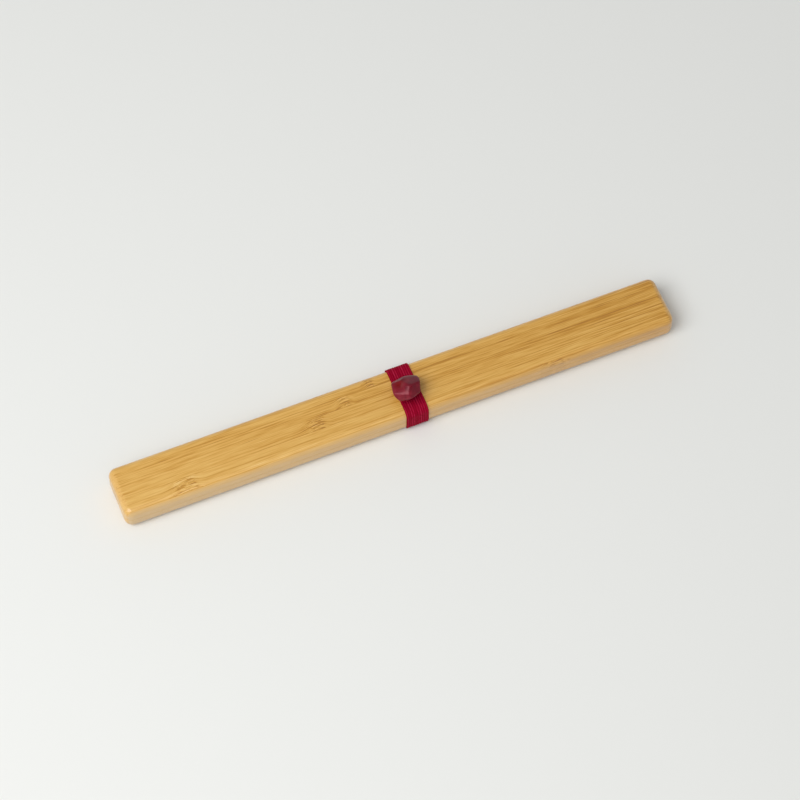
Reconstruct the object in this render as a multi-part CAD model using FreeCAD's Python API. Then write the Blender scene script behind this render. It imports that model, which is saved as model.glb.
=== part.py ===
import FreeCAD, Part
import math
import os

# A pair of bamboo chopsticks in their travel case. The case is a slim bar of laminated bamboo
# in two halves, a base and a lid. Each half has two long milled slots, and the sticks lie half
# in the base and half in the lid, so that they key the halves together. A ribbed elastic band
# round the middle holds the case shut, and a faceted bead is sewn on top of it.
#
# Millimetres. X runs along the case, Y across it and Z up. The origin is at the middle of the
# case on the surface that it lies on, which touches the underside of the band.

Vector = FreeCAD.Vector

# Chopsticks: a square handle that turns into a round, tapered end
stick_length = 228.0
handle_side = 6.4
handle_corner_radius = 1.4
handle_length = 92.0        # square part, with a slight taper
neck_side = 6.0             # at the end of the square part
neck_blend = 32.0           # from there to where the stick is round
round_start_diameter = 5.5
tip_diameter = 4.0
handle_end_rounding = 0.8
tip_end_rounding = 1.6
tip_flat = 0.08             # width of the four flats left on the round part

# Slots for the sticks, one pair in each half of the case
stick_lay_gap = 0.05        # between a stick and the floor of its slot
stick_head_gap = 0.75       # above the handle, under the lid's slot
stick_side_gap = 0.55       # on each side of the handle
stick_end_gap = 2.0         # beyond each end of the stick

# Walls round the slots
slot_rib = 3.0              # between the two slots
side_wall = 3.0
end_wall = 9.0
slot_floor = 2.4            # under the slots in the base, and over them in the lid

# Rounding of the case
plan_corner_radius = 3.5    # corners seen from above
long_edge_radius = 3.0      # along the outer edges
parting_edge_break = 0.15   # sanded edge where the halves meet

# Elastic band
band_width = 10.0
band_thickness = 0.75
band_fit = 0.05             # between the band and the case
band_centre_x = 5.6
rib_count = 10
rib_groove_width = 0.36
rib_groove_floor = 0.16
rib_groove_depth = 0.22
lap_length = 7.0            # the band's ends lie over each other under the bead
lap_past_bead = 2.2         # the middle of the lap lies this far behind the bead's middle

# Bead and the thread that sews it to the band
bead_length = 13.3
bead_width = 12.9
bead_height = 8.6
bead_off_x = -0.88          # from the middle of the band
bead_off_y = -2.3           # from the middle line of the case
bead_softness = 12          # the higher, the sharper the edges between the bead's flats
bead_seat_cut = 0.25        # ground off underneath for a flat seat
bead_hole_diameter = 0.9
bead_hole_height = 1.0      # above the bead's flat seat
thread_diameter = 0.6
thread_bend = 0.7           # bend radius of the thread's centre line

# Flats of the bead as (azimuth, elevation, share): the way each one faces, in degrees, and its
# distance from the middle of a ball that is then stretched to the bead's sizes
bead_flats = [
    (62, 55, 0.81),      # broad flat at the back, on the right
    (-62, 36, 0.86),     # in front, on the right
    (-150, 54, 0.96),    # in front, on the left
    (168, 54, 0.95),     # at the back, on the left, with the dimple in it
    (99, 20, 0.80), (74, 22, 0.82), (22, 15, 1.07), (-20, 0, 0.84), (-72, -16, 0.71), (-98, -20, 0.77),
    (-128, 18, 0.94), (-155, -16, 1.09), (168, -4, 1.08),
    (60, -45, 0.92), (-30, -50, 0.92), (-120, -55, 0.92), (172, -38, 0.86), (0, -90, 0.90),
]
dimple_azimuth = 156
dimple_elevation = 48
dimple_spread = 20          # degrees from its middle to its rim
dimple_depth = 0.20         # as a share of the ball

# Sizes of the case that follow from what it holds
slot_width = handle_side + 2 * stick_side_gap
slot_length = stick_length + 2 * stick_end_gap
slot_depth = (handle_side + stick_lay_gap + stick_head_gap) / 2
case_width = 2 * slot_width + slot_rib + 2 * side_wall
case_length = slot_length + 2 * end_wall
half_thickness = slot_depth + slot_floor

# Levels
case_bottom = band_fit + band_thickness
parting_level = case_bottom + half_thickness
case_top = parting_level + half_thickness
band_top = case_top + band_fit + band_thickness
lap_top = band_top + band_thickness

# Places across the case and along it
slot_offset_y = (slot_rib + slot_width) / 2
rib_pitch = band_width / rib_count
bead_x = band_centre_x + bead_off_x
bead_y = bead_off_y


def rounded_rectangle(half_x, half_y, radius, to_space):
    """Closed wire of four lines and four quarter arcs; to_space turns flat (u, v) into a point."""
    turn = math.sqrt(0.5)
    edges = []
    corners = [(1, 1), (-1, 1), (-1, -1), (1, -1)]
    for number, (sx, sy) in enumerate(corners):
        cx = sx * (half_x - radius)
        cy = sy * (half_y - radius)
        on_side = (cx + sx * radius, cy)
        on_top = (cx, cy + sy * radius)
        middle = (cx + sx * radius * turn, cy + sy * radius * turn)
        start, end = (on_side, on_top) if sx * sy > 0 else (on_top, on_side)
        edges.append(Part.Arc(to_space(*start), to_space(*middle), to_space(*end)).toShape())
        next_sx, next_sy = corners[(number + 1) % 4]
        next_cx = next_sx * (half_x - radius)
        next_cy = next_sy * (half_y - radius)
        if next_sx * next_sy > 0:
            next_start = (next_cx + next_sx * radius, next_cy)
        else:
            next_start = (next_cx, next_cy + next_sy * radius)
        edges.append(Part.LineSegment(to_space(*end), to_space(*next_start)).toShape())
    return Part.Wire(edges)


def edges_at_level(solid, level):
    """Edges that lie wholly in the plane z = level."""
    return [e for e in solid.Edges if abs(e.BoundBox.ZMin - level) < 1e-5 and abs(e.BoundBox.ZMax - level) < 1e-5]


def slot_cutter(centre_y, low, high):
    """Round-ended slot, as a cutter of the slot's width leaves it, from level low to level high."""
    radius = slot_width / 2
    middle = slot_length / 2 - radius
    bar = Part.makeBox(2 * middle, slot_width, high - low, Vector(-middle, centre_y - radius, low))
    ends = [Part.makeCylinder(radius, high - low, Vector(side * middle, centre_y, low)) for side in (-1, 1)]
    return bar.fuse(ends).removeSplitter()


def case_half(low, high, outer_level, parting, slot_low, slot_high):
    """One half of the case: a bar with rounded corners, its outer edges rounded and its slots milled."""
    outline = rounded_rectangle(
        case_length / 2, case_width / 2, plan_corner_radius, lambda u, v: Vector(u, v, low)
    )
    bar = Part.Face(outline).extrude(Vector(0, 0, high - low))
    bar = bar.makeFillet(long_edge_radius, edges_at_level(bar, outer_level))
    bar = bar.makeChamfer(parting_edge_break, edges_at_level(bar, parting))
    for side in (-1, 1):
        bar = bar.cut(slot_cutter(side * slot_offset_y, slot_low, slot_high))
    return bar


def case_base():
    return case_half(
        case_bottom, parting_level, case_bottom, parting_level,
        parting_level - slot_depth, parting_level + slot_depth,
    )


def case_lid():
    return case_half(
        parting_level, case_top, case_top, parting_level,
        parting_level - slot_depth, parting_level + slot_depth,
    )


def chopstick(centre_y):
    """One stick, lying on the floor of its slot with its handle at the +X end."""
    floor = parting_level - slot_depth + stick_lay_gap
    handle_x = stick_length / 2

    def section(from_handle_end, side, corner):
        x = handle_x - from_handle_end
        middle = floor + side / 2
        return rounded_rectangle(
            side / 2, side / 2, corner, lambda u, v: Vector(x, centre_y + u, middle + v)
        )

    def round_section(from_handle_end, diameter):
        return section(from_handle_end, diameter, (diameter - tip_flat) / 2)

    sections = [
        section(0, handle_side, handle_corner_radius),
        section(handle_length, neck_side, handle_corner_radius),
        round_section(handle_length + neck_blend, round_start_diameter),
        round_section(stick_length, tip_diameter),
    ]
    stick = Part.makeLoft(sections, True, True)
    handle_end = [e for e in stick.Edges if e.BoundBox.XMin > handle_x - 1e-5]
    tip_end = [e for e in stick.Edges if e.BoundBox.XMax < handle_x - stick_length + 1e-5]
    stick = stick.makeFillet(handle_end_rounding, handle_end)
    return stick.makeFillet(tip_end_rounding, tip_end_of(stick, tip_end))


def tip_end_of(stick, old_edges):
    """The same edges as old_edges, found again on a stick whose other end has changed."""
    return [e for e in stick.Edges if any(e.CenterOfMass.distanceToPoint(o.CenterOfMass) < 1e-4 for o in old_edges)]


def rib_profile(to_space):
    """Section of the elastic, as a closed wire: flat inside, ribbed outside."""
    start = -band_width / 2
    points = [(start, 0.0), (start, band_thickness)]
    for number in range(1, rib_count):
        groove = start + number * rib_pitch
        points += [
            (groove - rib_groove_width / 2, band_thickness),
            (groove - rib_groove_floor / 2, band_thickness - rib_groove_depth),
            (groove + rib_groove_floor / 2, band_thickness - rib_groove_depth),
            (groove + rib_groove_width / 2, band_thickness),
        ]
    points += [(-start, band_thickness), (-start, 0.0)]
    corners = [to_space(*point) for point in points]
    return Part.makePolygon(corners + corners[:1])


def elastic_band():
    """The loop of ribbed elastic, with its far end lapped over the near one under the bead."""
    middle_level = (case_bottom + case_top) / 2
    route = rounded_rectangle(
        case_width / 2 + band_fit,
        (case_top - case_bottom) / 2 + band_fit,
        long_edge_radius + band_fit,
        lambda u, v: Vector(band_centre_x, u, middle_level + v),
    )
    side_y = case_width / 2 + band_fit
    profile = rib_profile(lambda u, v: Vector(band_centre_x + u, side_y + v, middle_level + (
        (case_top - case_bottom) / 2 - long_edge_radius)))
    loop = route.makePipeShell([profile], True, True)
    if loop.Volume < 0:
        loop.reverse()
    lap_start_y = bead_y + lap_past_bead - lap_length / 2
    lap_profile = rib_profile(lambda u, v: Vector(band_centre_x + u, lap_start_y, band_top + v))
    lap = Part.Face(lap_profile).extrude(Vector(0, lap_length, 0))
    return loop.fuse(lap).removeSplitter()


def unit(azimuth, elevation):
    """Unit vector that points the given way, angles in degrees."""
    around = math.radians(azimuth)
    up = math.radians(elevation)
    return Vector(math.cos(up) * math.cos(around), math.cos(up) * math.sin(around), math.sin(up))


def nugget_radius(direction):
    """Distance from the middle of a ball with soft-edged flats and one shallow dimple."""
    total = 0.0
    for azimuth, elevation, share in bead_flats:
        toward = direction.dot(unit(azimuth, elevation))
        total += max(0.0, toward / share) ** bead_softness
    radius = total ** (-1 / bead_softness)
    off = direction.getAngle(unit(dimple_azimuth, dimple_elevation))
    return radius - dimple_depth * math.exp(-((off / math.radians(dimple_spread)) ** 2))


def nugget_surface(scale, centre):
    """Closed cubic surface through the nugget: rows run from the lowest point to the highest."""
    rows = 19
    columns = 36
    poles = []
    for row in range(rows):
        elevation = -90 + 180 * row / (rows - 1)
        line = [unit(90 + 360 * column / columns, elevation) for column in range(columns)]
        line = [way * nugget_radius(way) for way in line]
        if row in (0, rows - 1):
            line = [line[0]] * columns
        poles.append([Vector(p.x * scale.x, p.y * scale.y, p.z * scale.z) + centre for p in line])
    surface = Part.BSplineSurface()
    row_mults = [4] + [1] * (rows - 4) + [4]
    column_mults = [1] * (columns + 1)
    surface.buildFromPolesMultsKnots(
        poles, row_mults, column_mults,
        [float(n) for n in range(len(row_mults))], [float(n) for n in range(len(column_mults))],
        False, True, 3, 3,
    )
    return surface


def bead():
    """The bead, stretched to its sizes, with a flat ground underneath and a hole for the thread."""
    rough = nugget_surface(Vector(1, 1, 1), Vector()).toShape().optimalBoundingBox(False)
    height = bead_height + bead_seat_cut
    scale = Vector(bead_length / rough.XLength, bead_width / rough.YLength, height / rough.ZLength)
    low_corner = Vector(rough.XMin * scale.x, rough.YMin * scale.y, rough.ZMin * scale.z)
    place = Vector(bead_x - bead_length / 2, bead_y - bead_width / 2, lap_top - bead_seat_cut)
    body = Part.Solid(Part.Shell([nugget_surface(scale, place - low_corner).toShape()]))
    ground = Part.makeBox(
        2 * bead_length, 2 * bead_width, bead_height,
        Vector(bead_x - bead_length, bead_y - bead_width, lap_top - bead_height),
    )
    hole = Part.makeCylinder(
        bead_hole_diameter / 2, 2 * bead_length,
        Vector(bead_x - bead_length, bead_y, lap_top + bead_hole_height), Vector(1, 0, 0),
    )
    return body.cut(ground).cut(hole)


def bead_thread():
    """Thread that comes up through one outer rib, runs through the bead and down to the other."""
    level = lap_top + bead_hole_height
    spread = (band_width - rib_pitch) / 2
    points = [
        Vector(band_centre_x - spread, bead_y, lap_top),
        Vector(band_centre_x - spread, bead_y, level),
        Vector(band_centre_x + spread, bead_y, level),
        Vector(band_centre_x + spread, bead_y, lap_top),
    ]
    edges = []
    start = points[0]
    for before, corner, after in zip(points, points[1:], points[2:]):
        back = (before - corner).normalize()
        ahead = (after - corner).normalize()
        turn = math.pi - back.getAngle(ahead)
        reach = thread_bend * math.tan(turn / 2)
        arc_start = corner + back * reach
        arc_end = corner + ahead * reach
        inward = (back + ahead).normalize()
        centre = corner + inward * (thread_bend / math.cos(turn / 2))
        edges.append(Part.LineSegment(start, arc_start).toShape())
        edges.append(Part.Arc(arc_start, centre - inward * thread_bend, arc_end).toShape())
        start = arc_end
    edges.append(Part.LineSegment(start, points[-1]).toShape())
    route = Part.Wire(edges)
    first = (points[1] - points[0]).normalize()
    section = Part.Wire(Part.makeCircle(thread_diameter / 2, points[0], first))
    return route.makePipeShell([section], True, True)


def main():
    os.makedirs("parts", exist_ok=True)
    pieces = {
        "case_base": case_base(),
        "case_lid": case_lid(),
        "chopstick_near": chopstick(-slot_offset_y),
        "chopstick_far": chopstick(slot_offset_y),
        "elastic_band": elastic_band(),
        "bead": bead(),
        "bead_thread": bead_thread(),
    }
    for name, shape in pieces.items():
        print(name, shape.isValid(), len(shape.Solids), round(shape.Volume, 2), shape.BoundBox)
        shape.exportStep(f"parts/{name}.step")


main()
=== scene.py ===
import math

import bmesh
import bpy
from mathutils import Matrix, Vector


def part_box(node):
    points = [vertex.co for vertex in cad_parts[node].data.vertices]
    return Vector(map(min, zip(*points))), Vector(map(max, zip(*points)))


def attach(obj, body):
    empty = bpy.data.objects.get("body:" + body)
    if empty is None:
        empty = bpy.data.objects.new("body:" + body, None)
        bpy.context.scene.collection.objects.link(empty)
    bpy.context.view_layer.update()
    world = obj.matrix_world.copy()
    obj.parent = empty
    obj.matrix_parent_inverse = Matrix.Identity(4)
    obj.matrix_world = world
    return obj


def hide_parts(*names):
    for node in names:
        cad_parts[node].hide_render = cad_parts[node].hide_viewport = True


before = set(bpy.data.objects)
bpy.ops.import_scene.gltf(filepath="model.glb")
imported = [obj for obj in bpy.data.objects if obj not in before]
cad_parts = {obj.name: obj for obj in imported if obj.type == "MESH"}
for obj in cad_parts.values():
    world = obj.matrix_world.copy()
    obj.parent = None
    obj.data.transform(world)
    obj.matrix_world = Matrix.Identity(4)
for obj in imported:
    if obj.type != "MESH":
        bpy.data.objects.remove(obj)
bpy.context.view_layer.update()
mm = 0.001


# Case base and lid: the two halves of a slim bar that was glued up from upright strips of bamboo,
# milled, rounded over and lacquered. The top shows the strips' narrow edges as fine parallel fibres,
# and each strip crosses one joint of the stem, where its fibres bend and break into short flecks.
lid_low, lid_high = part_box("case_lid")
bar_length = (lid_high.x - lid_low.x) / mm
bar_half_width = (lid_high.y - lid_low.y) / 2 / mm
PALE_STRIP_EDGE = -10.8

# Strips from the near side to the far one: far edge across the bar, tone, seed of the grain,
# place of the stem joint along the bar, half its length, strength of the glue line beyond it
bar_strips = [
    (PALE_STRIP_EDGE, 0.56, 0.13, 71.0, 8.0, 0.9),
    (-4.35, 0.58, 0.37, -94.6, 9.5, 0.9),
    (1.5, 0.52, 0.71, -34.5, 7.5, 0.7),
    (6.4, 0.50, 0.29, -20.0, 5.0, 0.8),
    (bar_half_width, 0.50, 0.91, -7.5, 4.2, 0.0),
]

# Glue lines: half their width, how far they wander to each side and over what length, and their tone
GLUE_HALF_WIDTH = 0.22
GLUE_WANDER = 0.45
GLUE_WANDER_LENGTH = 28.0
GLUE_TONE = -0.32
NO_GLUE = (0.0, 0.0, 0.0, 1.0)

# A ramp can only hold shares, so half a joint's length is kept there as a share of this
JOINT_LENGTH_UNIT = 20.0

# Stem joints, in parts of their half length: how much more steeply they fall than rise, where they are
# full, and between which places the dark marks of the rising side give way to a pale patch
JOINT_SKEW = 0.3
JOINT_CORE = 0.1
MARKS_FULL = 0.15
MARKS_GONE = 0.6
PALE_PATCH_TONE = 0.12

# Grain: length along the fibres and width across them in millimetres, and detail of the noise.
# The strokes and pits show at the stem joints only.
grain_sizes = {
    "broad": (60.0, 2.6, 1.0),
    "streak": (20.0, 0.8, 2.0),
    "fibre": (10.0, 0.36, 2.0),
    "vessel": (75.0, 0.62, 0.0),
    "stroke": (5.0, 0.32, 1.0),
    "pit": (1.3, 0.5, 0.0),
}
grain_weights = {"broad": 0.17, "streak": 0.31, "fibre": 0.92}
SEED_SHIFT = 600.0
VESSEL_GROWTH = 0.0003
# Painted light: how much the tone rises toward the -X end, the side the lamp is on
PAINTED_LIGHT_AT_END = 0.075

# Marks, as the noise values between which each comes in and the tones that it adds below and above
mark_tones = {
    "vessel": (0.58, 0.63, 0.0, -0.18),
    "stroke": (0.42, 0.54, -0.4, 0.14),
    "pit": (0.64, 0.70, 0.0, -0.25),
}

# The stem's wall on both long sides of the bar, and the sawn ends: the millimetres in which each comes
# in, and how much of the grain it hides
NEAR_WALL_FADE = 0.7
FAR_WALL_FROM = 1.2
FAR_WALL_FULL = 0.5
SAWN_END_FADE = 2.5
WALL_CALM = 0.55

# Pale colour of the wall by height: partly the wall's own paler tone and partly a painted reflection of
# the pale floor, which grows low down. Its change for each millimetre toward +X is painted falloff of the
# lamp's light, and the sawn ends take a painted reflection of the bright surround
WALL_TOP = 10.0
WALL_FOOT = 2.0
WALL_PALE_AND_REFLECTION_TOP = 0.25
WALL_PALE_AND_REFLECTION_FOOT = 0.5
PAINTED_LIGHT_FALLOFF_ALONG = -0.002
SAWN_END_PAINTED_REFLECTION = 0.2

# Painted shade: between these places along the bar the wall darkens to this tone, as the lamp's light
# falls off
WALL_PAINTED_SHADE_FROM = -80.0
WALL_PAINTED_SHADE_TO = 120.0
WALL_PAINTED_SHADE_TONE = -0.13

# Most of a noise lies between these values, over which fibres turn from rough to smooth
NOISE_LOW = 0.3
NOISE_HIGH = 0.7
FIBRE_ROUGHER = 0.07
FIBRE_SMOOTHER = 0.05
FIBRE_RELIEF = 0.04 * mm


def linear(hex_colour):
    """An sRGB hex colour as linear red, green, blue and alpha."""
    parts = [int(hex_colour[i:i + 2], 16) / 255 for i in (1, 3, 5)]
    return [p / 12.92 if p <= 0.04045 else ((p + 0.055) / 1.055) ** 2.4 for p in parts] + [1.0]


def new_material(name):
    """An empty material and its node tree."""
    made = bpy.data.materials.new(name)
    made.use_nodes = True
    made.node_tree.nodes.clear()
    return made, made.node_tree


def node(tree, kind, links=None, stops=(), interpolation="LINEAR", **settings):
    """Adds a node. links gives its inputs, as values, sockets or nodes; stops are a ramp's colours.

    The inputs of a Math node all have one name, so they go by number.
    """
    made = tree.nodes.new("ShaderNode" + kind)
    for name, value in settings.items():
        setattr(made, name, value)
    if stops:
        made.color_ramp.interpolation = interpolation
        elements = made.color_ramp.elements
        elements.remove(elements[1])
        elements[0].position, elements[0].color = stops[0]
        for place, colour in stops[1:]:
            elements.new(place).color = colour
    for socket, value in (links or {}).items():
        if isinstance(value, bpy.types.Node):
            value = value.outputs[0]
        if isinstance(value, bpy.types.NodeSocket):
            tree.links.new(value, made.inputs[socket])
        else:
            made.inputs[socket].default_value = value
    return made


def give_material(names, material):
    """Gives CAD nodes the material that their pieces are made of."""
    for name in names:
        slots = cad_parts[name].data.materials
        slots.clear()
        slots.append(material)


def strip_stops(strips, half_width):
    """Ramps across the bar: one with four values of each strip, one with the glue lines between them."""
    values = []
    glue_lines = [(0.0, NO_GLUE)]
    start = 0.0
    reach = GLUE_HALF_WIDTH / (2 * half_width)
    for edge, tone, seed, joint_at, joint_half, glue in strips:
        joint_share = joint_at / bar_length + 0.5
        values.append((start, (tone, seed, joint_share, joint_half / JOINT_LENGTH_UNIT)))
        start = min((edge + half_width) / (2 * half_width), 1.0)
        if glue:
            glue_grey = (glue, glue, glue, 1.0)
            glue_lines += [(start - reach, NO_GLUE), (start, glue_grey), (start + reach, NO_GLUE)]
    return values, glue_lines


def stem_joint(tree, along, joint_at, joint_half):
    """How near a point is to its strip's joint, and whether it lies where the fibres rise.

    The fibres rise gently in an arch and come down more steeply.
    """
    past = node(tree, "Math", {0: along, 1: joint_at}, operation="SUBTRACT")
    past = node(tree, "Math", {0: past, 1: joint_half}, operation="DIVIDE")
    far = node(tree, "Math", {0: past}, operation="ABSOLUTE")
    skewed = node(tree, "Math", {0: past, 1: JOINT_SKEW, 2: far}, operation="MULTIPLY_ADD")
    nearness = node(tree, "MapRange", {
        "Value": skewed, "From Min": 1.0, "From Max": JOINT_CORE,
    }, interpolation_type="SMOOTHSTEP")
    rising = node(tree, "MapRange", {"Value": past, "From Min": MARKS_GONE, "From Max": MARKS_FULL})
    return nearness, rising


def grain_layers(tree, along, fibre_y, up, seed):
    """Noise stretched along the fibres, in every size of grain, and different in each strip."""
    shifted = node(tree, "Math", {0: seed, 1: SEED_SHIFT, 2: along}, operation="MULTIPLY_ADD")
    layers = {}
    for name, (length, width, detail) in grain_sizes.items():
        stretched = node(tree, "CombineXYZ", {
            "X": node(tree, "Math", {0: shifted, 1: 1 / length}, operation="MULTIPLY"),
            "Y": node(tree, "Math", {0: fibre_y, 1: 1 / width}, operation="MULTIPLY"),
            "Z": node(tree, "Math", {0: up, 1: 1 / width}, operation="MULTIPLY"),
        })
        layers[name] = node(tree, "TexNoise", {"Vector": stretched, "Scale": 1.0, "Detail": detail})
    return layers


def grain_marks(tree, along, grain):
    """The tones of the vessels, which thicken toward the +X end, and of the joints' strokes and pits."""
    vessel = grain["vessel"]
    vessel = node(tree, "Math", {0: along, 1: VESSEL_GROWTH, 2: vessel}, operation="MULTIPLY_ADD")
    sources = {"vessel": vessel, "stroke": grain["stroke"], "pit": grain["pit"]}
    marks = {}
    for name, (comes_in, full, tone_below, tone_above) in mark_tones.items():
        marks[name] = node(tree, "MapRange", {
            "Value": sources[name], "From Min": comes_in, "From Max": full,
            "To Min": tone_below, "To Max": tone_above,
        })
    return marks


def pale_and_reflecting_walls(tree, along, across_bar, up, half_width):
    """Where the stem's wall shows, where the bar is sawn off, and how much pale colour both take: the
    wall's own paler tone with a painted reflection of the floor and painted falloff of the lamp's light,
    and a painted reflection of the surround on the ends.
    """
    near_side = node(tree, "MapRange", {
        "Value": across_bar, "From Min": PALE_STRIP_EDGE, "From Max": PALE_STRIP_EDGE - NEAR_WALL_FADE,
    })
    far_side = node(tree, "MapRange", {
        "Value": across_bar,
        "From Min": half_width - FAR_WALL_FROM, "From Max": half_width - FAR_WALL_FULL,
    })
    wall = node(tree, "Math", {0: near_side, 1: far_side}, operation="MAXIMUM")
    from_middle = node(tree, "Math", {0: along}, operation="ABSOLUTE")
    sawn_end = node(tree, "MapRange", {
        "Value": from_middle, "From Min": bar_length / 2 - SAWN_END_FADE, "From Max": bar_length / 2,
    })
    pale_and_reflection = node(tree, "MapRange", {
        "Value": up, "From Min": WALL_TOP, "From Max": WALL_FOOT,
        "To Min": WALL_PALE_AND_REFLECTION_TOP, "To Max": WALL_PALE_AND_REFLECTION_FOOT,
    })
    # Painted light: the pale colour weakens toward +X as the lamp's light falls off
    pale_and_reflection = node(tree, "Math", {0: along, 1: PAINTED_LIGHT_FALLOFF_ALONG, 2: pale_and_reflection}, operation="MULTIPLY_ADD")
    pale_and_reflection = node(tree, "Math", {0: pale_and_reflection, 1: wall}, operation="MULTIPLY")
    # Painted reflection of the bright surround on the sawn ends
    pale_and_reflection = node(tree, "Math", {0: sawn_end, 1: SAWN_END_PAINTED_REFLECTION, 2: pale_and_reflection}, operation="MULTIPLY_ADD")
    return wall, sawn_end, pale_and_reflection


def bamboo(name, strips, half_width, colours, roughness, bend, lacquer, pale_and_reflected_colour=None):
    """Sanded bamboo: fine stretched fibres, long dark vessels and the stem's joints.

    Lacquer lays a satin sheen over them. Everything is worked out in millimetres of the piece's own
    space, with the fibres along X. A tone is a place in the range of colours.
    """
    made, tree = new_material(name)
    coords = node(tree, "TexCoord").outputs["Object"]
    in_mm = node(tree, "VectorMath", {0: coords, "Scale": 1 / mm}, operation="SCALE")
    axes = node(tree, "SeparateXYZ", {"Vector": in_mm})
    along, across, up = axes.outputs["X"], axes.outputs["Y"], axes.outputs["Z"]

    # Glue lines wander by a few tenths of a millimetre over some centimetres
    slow = node(tree, "Math", {0: along, 1: 1 / GLUE_WANDER_LENGTH}, operation="MULTIPLY")
    slow = node(tree, "CombineXYZ", {"X": slow})
    wander = node(tree, "TexNoise", {"Vector": slow, "Scale": 1.0, "Detail": 1.0})
    wander = node(tree, "MapRange", {"Value": wander, "To Min": -GLUE_WANDER, "To Max": GLUE_WANDER})
    across_bar = node(tree, "Math", {0: across, 1: wander}, operation="ADD")
    share = node(tree, "MapRange", {"Value": across_bar, "From Min": -half_width, "From Max": half_width})

    # One ramp holds four values of the strip that a point lies in
    strip_values, glue_lines = strip_stops(strips, half_width)
    strip = node(tree, "ValToRGB", {"Fac": share}, stops=strip_values, interpolation="CONSTANT")
    parts = node(tree, "SeparateColor", {"Color": strip.outputs["Color"]})
    tone, seed, joint_share = (parts.outputs[i] for i in range(3))
    joint_at = node(tree, "MapRange", {
        "Value": joint_share, "To Min": -bar_length / 2, "To Max": bar_length / 2,
    })
    joint_half = node(tree, "Math", {
        0: strip.outputs["Alpha"], 1: JOINT_LENGTH_UNIT,
    }, operation="MULTIPLY")

    # The joint lifts the fibres, and the grain follows them
    nearness, rising = stem_joint(tree, along, joint_at, joint_half)
    lift = node(tree, "Math", {0: nearness, 1: bend}, operation="MULTIPLY")
    fibre_y = node(tree, "Math", {0: across, 1: lift}, operation="SUBTRACT")
    grain = grain_layers(tree, along, fibre_y, up, seed)
    marks = grain_marks(tree, along, grain)
    flecks = node(tree, "Math", {0: marks["stroke"], 1: marks["pit"]}, operation="ADD")
    pale_patch = (PALE_PATCH_TONE, PALE_PATCH_TONE, PALE_PATCH_TONE, 1.0)
    flecks = node(tree, "MixRGB", {"Fac": rising, "Color1": pale_patch, "Color2": flecks})

    # All of these add to the strip's own tone, with painted light that raises it toward the -X end, the
    # lamp's side
    painted_light_slope = -2 * PAINTED_LIGHT_AT_END / bar_length
    plain = node(tree, "Math", {0: along, 1: painted_light_slope, 2: tone}, operation="MULTIPLY_ADD")
    value = plain
    for layer, weight in grain_weights.items():
        centred = node(tree, "Math", {0: grain[layer], 1: 0.5}, operation="SUBTRACT")
        value = node(tree, "Math", {0: centred, 1: weight, 2: value}, operation="MULTIPLY_ADD")
    value = node(tree, "Math", {0: flecks, 1: nearness, 2: value}, operation="MULTIPLY_ADD")
    value = node(tree, "Math", {0: value, 1: marks["vessel"]}, operation="ADD")
    glue_line = node(tree, "ValToRGB", {"Fac": share}, stops=glue_lines)
    value = node(tree, "Math", {0: glue_line, 1: GLUE_TONE, 2: value}, operation="MULTIPLY_ADD")

    # The outermost strips turn the stem's plain, pale wall outward. It is palest low down, a painted
    # reflection of the pale floor, and toward the -X end, with painted shade darkening it toward the
    # other, away from the lamp.
    # The sawn ends are plain too, and a little pale, a painted reflection of the bright surround.
    if pale_and_reflected_colour:
        wall, sawn_end, pale_and_reflection = pale_and_reflecting_walls(tree, along, across_bar, up, half_width)
        calm = node(tree, "Math", {0: wall, 1: sawn_end}, operation="MAXIMUM")
        calm = node(tree, "Math", {0: calm, 1: WALL_CALM}, operation="MULTIPLY")
        value = node(tree, "MixRGB", {"Fac": calm, "Color1": value, "Color2": plain})
        # Painted shade: the wall darkens toward +X, away from the lamp
        painted_shade = node(tree, "MapRange", {
            "Value": along, "From Min": WALL_PAINTED_SHADE_FROM, "From Max": WALL_PAINTED_SHADE_TO,
            "To Max": WALL_PAINTED_SHADE_TONE,
        })
        value = node(tree, "Math", {0: painted_shade, 1: wall, 2: value}, operation="MULTIPLY_ADD")
    stops = [(place, linear(shade)) for place, shade in colours]
    colour = node(tree, "ValToRGB", {"Fac": value}, stops=stops)
    if pale_and_reflected_colour:
        colour = node(tree, "MixRGB", {"Fac": pale_and_reflection, "Color1": colour, "Color2": linear(pale_and_reflected_colour)})

    shine = node(tree, "MapRange", {
        "Value": grain["fibre"], "From Min": NOISE_LOW, "From Max": NOISE_HIGH,
        "To Min": roughness + FIBRE_ROUGHER, "To Max": roughness - FIBRE_SMOOTHER,
    })
    bump = node(tree, "Bump", {"Height": grain["fibre"], "Strength": 0.35, "Distance": FIBRE_RELIEF})
    shader = node(tree, "BsdfPrincipled", {
        "Base Color": colour, "Roughness": shine, "IOR": 1.5, "Normal": bump,
        "Coat Weight": lacquer, "Coat Roughness": 0.4, "Coat IOR": 1.55,
    })
    node(tree, "OutputMaterial", {"Surface": shader})
    return made


give_material(["case_base", "case_lid"], bamboo(
    "laminated_bamboo_satin_lacquered", bar_strips, bar_half_width,
    [(0.0, "#9E6400"), (0.25, "#BE8412"), (0.5, "#D5A144"), (0.75, "#E2B45E"), (1.0, "#EFCB86")],
    roughness=0.42, bend=1.35, lacquer=1.0, pale_and_reflected_colour="#C6AA80",
))


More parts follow.
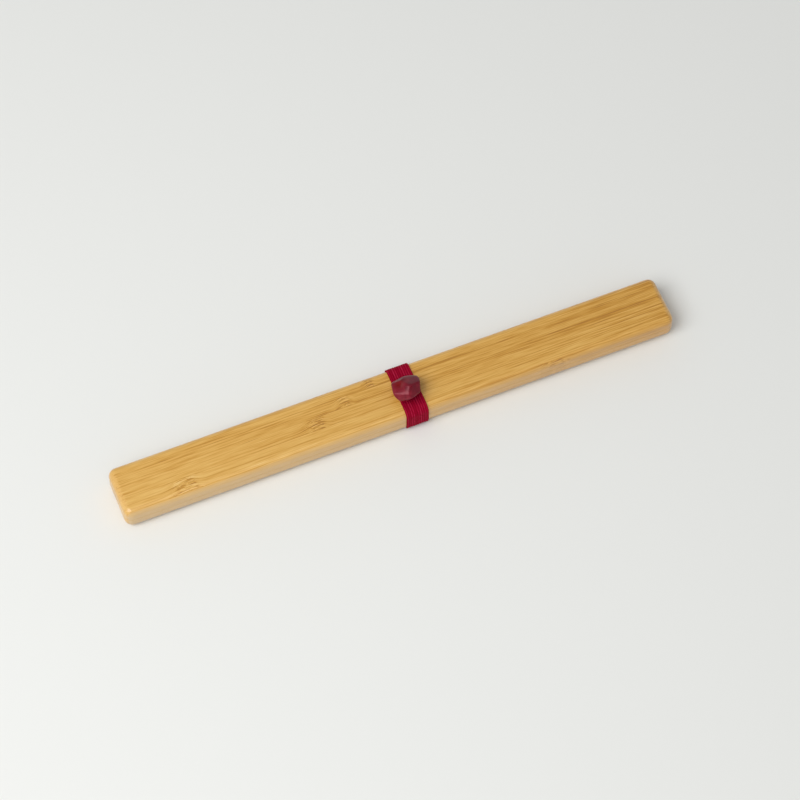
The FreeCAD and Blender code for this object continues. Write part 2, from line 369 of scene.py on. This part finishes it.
# Chopsticks: a pair split and turned from solid bamboo and sanded smooth, lying side by side in the
# closed case. Each is one piece of stem wall, so it has no glue lines.
sticks = ["chopstick_near", "chopstick_far"]
stick_half_width = max(abs(corner.y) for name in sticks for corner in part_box(name)) / mm
give_material(sticks, bamboo(
    "solid_bamboo_sanded", [(stick_half_width, 0.5, 0.53, 40.0, 7.0, 0.0)], stick_half_width,
    [(0.0, "#94622C"), (0.3, "#B98745"), (0.6, "#D0A25C"), (1.0, "#E6C588")],
    roughness=0.36, bend=0.5, lacquer=0.0,
))


# Elastic band: a 10 mm tape of rubber cords covered in crimson polyester yarn and woven side by side,
# which gives its ribs. It runs once round the case, and its ends lap under the bead.
RIBS = 10
TAPE_THICKNESS = 0.75 * mm
RIB_DEPTH = 0.24 * mm
TAPE_FIT = 0.05 * mm
LONG_EDGE_RADIUS = 3.0 * mm
LAP_LENGTH = 7.0 * mm
LAP_BEHIND_BEAD = 2.2 * mm
LAP_CLIMB = 1.6 * mm
TAPE_COLUMNS_PER_RIB = 8
TAPE_ROW = 0.25 * mm
RIB_EDGE_ROOM = 1e-6

# Yarn: length and depth of a turn, how far it leans across a rib in the mesh, in turns, and in the
# colour, in radians, and its fine relief
YARN_PITCH = 0.62 * mm
YARN_DEPTH = 0.02 * mm
YARN_LEAN = 0.5
YARN_SLANT = 3.0
YARN_RELIEF = 0.03 * mm

# Painted shine, a highlight painted lighter into the ribs' colour: patches for each millimetre across and
# along the tape, and what a rib's own shade and the turns of the yarn add to them
PATCHES_ACROSS = 1.4
PATCHES_ALONG = 0.55
OWN_SHADE = 0.5
YARN_SHADE = 0.1

base_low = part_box("case_base")[0]
band_low, band_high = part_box("elastic_band")
bead_low, bead_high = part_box("bead")
tape_width = band_high.x - band_low.x
tape_middle_x = (band_high.x + band_low.x) / 2
tape_half_y = lid_high.y + TAPE_FIT
tape_bottom = base_low.z - TAPE_FIT
tape_top = lid_high.z + TAPE_FIT
bead_middle = (bead_low + bead_high) / 2


def follow(legs, travelled, point, heading):
    """Point and heading after travelling along legs of (length, radius): radius 0 is straight."""
    point = Vector(point)
    for length, radius in legs:
        step = min(travelled, length)
        if radius:
            centre = point + radius * Vector((-math.sin(heading), math.cos(heading)))
            heading += step / radius
            point = centre + radius * Vector((math.sin(heading), -math.cos(heading)))
        else:
            point += step * Vector((math.cos(heading), math.sin(heading)))
        travelled -= step
        if travelled <= 0:
            break
    return point, heading


def finish_piece(name, bm, material, replaced):
    """Turns a bmesh into a smooth piece that rides on the part in place of a CAD node."""
    mesh = bpy.data.meshes.new(name)
    bmesh.ops.recalc_face_normals(bm, faces=bm.faces[:])
    bm.to_mesh(mesh)
    bm.free()
    mesh.shade_smooth()
    mesh.materials.append(material)
    piece = bpy.data.objects.new(name, mesh)
    bpy.context.scene.collection.objects.link(piece)
    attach(piece, "root")
    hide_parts(replaced)


def elastic_tape():
    """The tape, shaped flat with its ribs and then wrapped round the case."""
    radius = LONG_EDGE_RADIUS + TAPE_FIT
    corner = (math.pi / 2 * radius, radius)
    flat_y = 2 * (tape_half_y - radius)
    flat_z = tape_top - tape_bottom - 2 * radius
    start_y = bead_middle.y + LAP_BEHIND_BEAD + LAP_LENGTH / 2
    first = start_y + tape_half_y - radius
    legs = [
        (first, 0), corner, (flat_z, 0), corner, (flat_y, 0), corner, (flat_z, 0), corner,
        (flat_y - first, 0), (LAP_LENGTH, 0),
    ]
    length = sum(leg[0] for leg in legs)
    once_round = length - LAP_LENGTH

    bm = bmesh.new()
    rows = round(length / TAPE_ROW)
    bmesh.ops.create_grid(bm, x_segments=RIBS * TAPE_COLUMNS_PER_RIB, y_segments=rows, size=0.5)
    bmesh.ops.scale(bm, vec=(tape_width, length, 1.0), verts=bm.verts[:])
    bmesh.ops.translate(bm, vec=(0.0, length / 2, 0.0), verts=bm.verts[:])
    grown = bmesh.ops.extrude_face_region(bm, geom=bm.faces[:])
    outer = [item for item in grown["geom"] if isinstance(item, bmesh.types.BMVert)]
    bmesh.ops.translate(bm, vec=(0.0, 0.0, TAPE_THICKNESS), verts=outer)

    along_tape = bm.loops.layers.uv.new("tape_mm")
    for face in bm.faces:
        for loop in face.loops:
            loop[along_tape].uv = (loop.vert.co.x / mm, loop.vert.co.y / mm)

    # Round crowns with the turns of the yarn on them, which lean the other way on every second rib
    rib_width = tape_width / RIBS
    for vert in outer:
        ribs_over = (vert.co.x + tape_width / 2) / rib_width
        rib = math.floor(ribs_over + RIB_EDGE_ROOM)
        in_rib = 2 * (ribs_over - rib) - 1
        crown = math.sqrt(max(0.0, 1 - in_rib * in_rib))
        lean = YARN_LEAN * (-1) ** rib
        twist = math.sin(2 * math.pi * (vert.co.y / YARN_PITCH + lean * in_rib))
        vert.co.z -= RIB_DEPTH * (1 - crown) + YARN_DEPTH * (1 - twist) * crown

    # The last stretch climbs onto the tape's own start and laps over it
    for vert in bm.verts:
        x, travelled, height = vert.co
        point, heading = follow(legs, travelled, (start_y, tape_top), math.pi)
        climb = min(max((travelled - once_round + LAP_CLIMB) / LAP_CLIMB, 0.0), 1.0)
        height += (TAPE_THICKNESS + TAPE_FIT) * climb * climb * (3 - 2 * climb)
        out = Vector((math.sin(heading), -math.cos(heading)))
        y, z = point + out * height
        vert.co = (tape_middle_x + x, y, z)
    return bm


def ribbed_elastic():
    """Covered rubber woven with crimson polyester yarn: matt valleys, and a soft shine on each rib that
    is a painted highlight in its colour.
    """
    made, tree = new_material("ribbed_elastic_woven_polyester")
    place = node(tree, "UVMap", uv_map="tape_mm")
    axes = node(tree, "SeparateXYZ", {"Vector": place})
    across, along = axes.outputs["X"], axes.outputs["Y"]
    ribs_over = node(tree, "Math", {
        0: across, 1: RIBS * mm / tape_width, 2: RIBS / 2,
    }, operation="MULTIPLY_ADD")
    in_rib = node(tree, "Math", {0: ribs_over}, operation="FRACT")
    off_crown = node(tree, "MapRange", {"Value": in_rib, "To Min": -1.0, "To Max": 1.0})
    off_crown = node(tree, "Math", {0: off_crown}, operation="ABSOLUTE")
    crown = node(tree, "MapRange", {
        "Value": off_crown, "From Min": 1.0, "From Max": 0.0,
    }, interpolation_type="SMOOTHSTEP")

    # Painted highlight: patches in the yarn's shine, a shade that each rib has to itself, and the turns
    # of the yarn
    patch_place = node(tree, "CombineXYZ", {
        "X": node(tree, "Math", {0: across, 1: PATCHES_ACROSS}, operation="MULTIPLY"),
        "Y": node(tree, "Math", {0: along, 1: PATCHES_ALONG}, operation="MULTIPLY"),
    })
    painted_shine = node(tree, "TexNoise", {"Vector": patch_place, "Scale": 1.0, "Detail": 3.0})
    rib = node(tree, "Math", {0: ribs_over}, operation="FLOOR")
    own = node(tree, "TexWhiteNoise", {"W": rib}, noise_dimensions="1D")
    painted_shine = node(tree, "Math", {0: own.outputs["Value"], 1: OWN_SHADE, 2: painted_shine}, operation="MULTIPLY_ADD")
    yarn = node(tree, "Math", {0: along, 1: 2 * math.pi * mm / YARN_PITCH}, operation="MULTIPLY")
    yarn = node(tree, "Math", {0: in_rib, 1: YARN_SLANT, 2: yarn}, operation="MULTIPLY_ADD")
    yarn = node(tree, "Math", {0: yarn}, operation="SINE")
    painted_shine = node(tree, "Math", {0: yarn, 1: YARN_SHADE, 2: painted_shine}, operation="MULTIPLY_ADD")
    # The painted highlight sits on the crowns only, so the valleys keep the darkest red
    painted_shine = node(tree, "Math", {0: painted_shine, 1: crown}, operation="MULTIPLY")
    colour = node(tree, "ValToRGB", {"Fac": painted_shine}, stops=[
        (0.0, linear("#84001E")), (0.5, linear("#920026")),
        (0.8, linear("#A20C32")), (1.0, linear("#B22A4A")),
    ])
    bump = node(tree, "Bump", {"Height": yarn, "Strength": 0.4, "Distance": YARN_RELIEF})
    shader = node(tree, "BsdfPrincipled", {
        "Base Color": colour, "Roughness": 0.7, "IOR": 1.5, "Specular IOR Level": 0.06, "Normal": bump,
    })
    node(tree, "OutputMaterial", {"Surface": shader})
    return made


finish_piece("ribbed_elastic_tape", elastic_tape(), ribbed_elastic(), "elastic_band")


# Bead: a tumbled nugget of deep red stone with a waxy polish. Tumbling left a few broad flats with
# soft edges and one shallow dimple. Its underside is ground flat and sits on the lapped elastic.
BEAD_SUBDIVISIONS = 7
BEAD_CRISPNESS = 19
BEAD_SEAT_CUT = 0.25 * mm
DIMPLE_AZIMUTH, DIMPLE_ELEVATION = 156, 48
DIMPLE_SPREAD = 25
DIMPLE_DEPTH = 0.18

# Flats as azimuth, elevation and share of the ball's radius
bead_flats = [
    (62, 55, 0.81), (-62, 36, 0.86), (-150, 54, 0.96), (168, 54, 0.95),
    (99, 20, 0.80), (74, 22, 0.82), (22, 15, 1.07), (-20, 0, 0.84), (-72, -16, 0.71), (-98, -20, 0.77),
    (-128, 18, 0.94), (-155, -16, 1.09), (168, -4, 1.08),
    (60, -45, 0.92), (-30, -50, 0.92), (-120, -55, 0.92), (172, -38, 0.86), (0, -90, 0.90),
]

# Stone: clouds for each millimetre and the painted shade that darkens them toward +X, away from the lamp,
# how far the dimple's painted shade reaches, dents of the skin for each millimetre, their depth, and the
# skin's roughness from one to the next
CLOUDS = 0.22
PAINTED_SHADE_DRIFT = -0.018
DIMPLE_SHADE_REACH = 3.3
DIMPLE_SHADE_FULL = DIMPLE_SHADE_REACH / 4
SKIN_DENTS = 0.5
SKIN_RELIEF = 0.12 * mm
SKIN_SMOOTHEST = 0.27
SKIN_ROUGHEST = 0.37


def unit(azimuth, elevation):
    """Unit vector that points the given way, angles in degrees."""
    around, up = math.radians(azimuth), math.radians(elevation)
    return Vector((math.cos(up) * math.cos(around), math.cos(up) * math.sin(around), math.sin(up)))


dimple_way = unit(DIMPLE_AZIMUTH, DIMPLE_ELEVATION)


def nugget():
    """A ball pressed to its flats and dimple, stretched to the bead's box and ground flat underneath."""
    bm = bmesh.new()
    bmesh.ops.create_icosphere(bm, subdivisions=BEAD_SUBDIVISIONS, radius=1.0)
    flats = [(unit(azimuth, elevation), share) for azimuth, elevation, share in bead_flats]
    for vert in bm.verts:
        way = vert.co.normalized()
        total = sum(max(0.0, way.dot(facing) / share) ** BEAD_CRISPNESS for facing, share in flats)
        off = way.angle(dimple_way) / math.radians(DIMPLE_SPREAD)
        vert.co = way * (total ** (-1 / BEAD_CRISPNESS) - DIMPLE_DEPTH * math.exp(-off * off))
    low = Vector([min(v.co[i] for v in bm.verts) for i in range(3)])
    high = Vector([max(v.co[i] for v in bm.verts) for i in range(3)])
    target_low = bead_low - Vector((0, 0, BEAD_SEAT_CUT))
    for vert in bm.verts:
        share = [(vert.co[i] - low[i]) / (high[i] - low[i]) for i in range(3)]
        vert.co = [target_low[i] + share[i] * (bead_high[i] - target_low[i]) for i in range(3)]
        vert.co.z = max(vert.co.z, bead_low.z)
    return bm


def tumbled_stone():
    """Red stone, tumbled: cloudy deep red under a waxy skin, with soft highlights."""
    made, tree = new_material("red_stone_tumbled")
    coords = node(tree, "TexCoord").outputs["Object"]
    in_mm = node(tree, "VectorMath", {0: coords, "Scale": 1 / mm}, operation="SCALE")
    cloud = node(tree, "TexNoise", {"Vector": in_mm, "Scale": CLOUDS, "Detail": 4.0, "Roughness": 0.6})
    axes = node(tree, "SeparateXYZ", {"Vector": in_mm})
    # Painted shade: the clouds darken toward +X, the side away from the lamp
    from_middle = node(tree, "Math", {0: axes.outputs["X"], 1: bead_middle.x / mm}, operation="SUBTRACT")
    cloud = node(tree, "Math", {0: from_middle, 1: PAINTED_SHADE_DRIFT, 2: cloud}, operation="MULTIPLY_ADD")
    colour = node(tree, "ValToRGB", {"Fac": cloud}, stops=[
        (0.25, linear("#440614")), (0.5, linear("#6A0C1E")), (0.75, linear("#8A2030")),
    ])

    # Painted shade in the dimple: a deeper, purer red where the hollow shades itself and reddens its own
    # light
    half = (bead_high - bead_low) * (1 - DIMPLE_DEPTH) / 2
    dimple = bead_middle + Vector([half[i] * dimple_way[i] for i in range(3)])
    away = node(tree, "VectorMath", {0: in_mm, 1: dimple / mm}, operation="DISTANCE")
    dimple_shade = node(tree, "MapRange", {
        "Value": away.outputs["Value"], "From Min": DIMPLE_SHADE_REACH, "From Max": DIMPLE_SHADE_FULL,
    })
    colour = node(tree, "MixRGB", {"Fac": dimple_shade, "Color1": colour, "Color2": linear("#700004")})

    skin = node(tree, "TexNoise", {"Vector": in_mm, "Scale": SKIN_DENTS, "Detail": 2.0})
    shine = node(tree, "MapRange", {
        "Value": skin, "From Min": NOISE_LOW, "From Max": NOISE_HIGH,
        "To Min": SKIN_SMOOTHEST, "To Max": SKIN_ROUGHEST,
    })
    bump = node(tree, "Bump", {"Height": skin, "Strength": 0.5, "Distance": SKIN_RELIEF})
    shader = node(tree, "BsdfPrincipled", {
        "Base Color": colour, "Roughness": shine, "IOR": 1.54, "Normal": bump,
        "Specular IOR Level": 0.45, "Specular Tint": linear("#FFBCC4"),
        "Subsurface Weight": 0.15, "Subsurface Radius": (1.5, 0.4, 0.4), "Subsurface Scale": 1.0 * mm,
    })
    node(tree, "OutputMaterial", {"Surface": shader})
    return made


finish_piece("tumbled_bead", nugget(), tumbled_stone(), "bead")


# Bead thread: crimson polyester sewing thread that comes up through one outer rib of the elastic,
# runs through the bead and goes down through the other. Its twisted yarn looks matt and dark.
thread_red, thread_tree = new_material("polyester_sewing_thread")
thread_shader = node(thread_tree, "BsdfPrincipled", {"Base Color": linear("#7A0A24"), "Roughness": 0.6})
node(thread_tree, "OutputMaterial", {"Surface": thread_shader})
give_material(["bead_thread"], thread_red)


# Studio: a plain floor of matt, pale paper, a soft lamp on the left and a wide one in front. The
# surround is brightest low down, as pale walls make it. The camera looks down along the photograph's
# line of sight.
FLOOR_HALF = 3.0
HORIZON_STRENGTH = 0.94
CEILING_STRENGTH = 0.385
HORIZON_FADES_AT = 0.5
VIEW_AZIMUTH, VIEW_ELEVATION = -22.18, 61.12
VIEW_DISTANCE = 1.350
VIEW_TARGET = Vector((0.9, -4.0, 12.8)) * mm
LENS = 144.0
SENSOR_WIDTH = 36.0
NEAREST = 0.1

floor_bm = bmesh.new()
bmesh.ops.create_grid(floor_bm, x_segments=1, y_segments=1, size=FLOOR_HALF)
floor_mesh = bpy.data.meshes.new("floor")
floor_bm.to_mesh(floor_mesh)
floor_bm.free()
floor = bpy.data.objects.new("floor", floor_mesh)
bpy.context.scene.collection.objects.link(floor)
paper, paper_tree = new_material("matt_pale_paper")
paper_shader = node(paper_tree, "BsdfPrincipled", {
    "Base Color": linear("#E8E9E6"), "Roughness": 0.9, "Specular IOR Level": 0.0,
})
node(paper_tree, "OutputMaterial", {"Surface": paper_shader})
floor_mesh.materials.append(paper)

world = bpy.data.worlds.new("surround")
bpy.context.scene.world = world
world.use_nodes = True
world_tree = world.node_tree
sky = node(world_tree, "TexCoord").outputs["Generated"]
direction = node(world_tree, "SeparateXYZ", {"Vector": sky})
strength = node(world_tree, "MapRange", {
    "Value": direction.outputs["Z"], "From Min": 0.0, "From Max": HORIZON_FADES_AT,
    "To Min": HORIZON_STRENGTH, "To Max": CEILING_STRENGTH,
})
background = world_tree.nodes["Background"]
background.inputs["Color"].default_value = linear("#FFFFFF")
world_tree.links.new(strength.outputs[0], background.inputs["Strength"])


def soft_lamp(name, power, size, place):
    """A square lamp that faces the middle of the floor, in watts and metres."""
    data = bpy.data.lights.new(name, "AREA")
    data.energy = power
    data.size = size
    lamp = bpy.data.objects.new(name, data)
    lamp.location = place
    lamp.rotation_mode = "QUATERNION"
    lamp.rotation_quaternion = lamp.location.to_track_quat("Z", "Y")
    bpy.context.scene.collection.objects.link(lamp)


soft_lamp("window", 12.1, 0.85, (-0.74, -0.24, 1.1))
soft_lamp("fill", 13.0, 2.6, (-0.8, -1.8, 3.1))

camera_data = bpy.data.cameras.new("camera")
camera_data.lens = LENS
camera_data.sensor_width = SENSOR_WIDTH
camera_data.clip_start = NEAREST
camera = bpy.data.objects.new("camera", camera_data)
bpy.context.scene.collection.objects.link(camera)
back = Matrix.Rotation(math.radians(VIEW_AZIMUTH), 3, "Z") @ Vector((
    0, -math.cos(math.radians(VIEW_ELEVATION)), math.sin(math.radians(VIEW_ELEVATION)),
))
camera.location = VIEW_TARGET + back * VIEW_DISTANCE
camera.rotation_mode = "QUATERNION"
camera.rotation_quaternion = back.to_track_quat("Z", "Y")
bpy.context.scene.camera = camera
bpy.context.scene.view_settings.view_transform = "Standard"
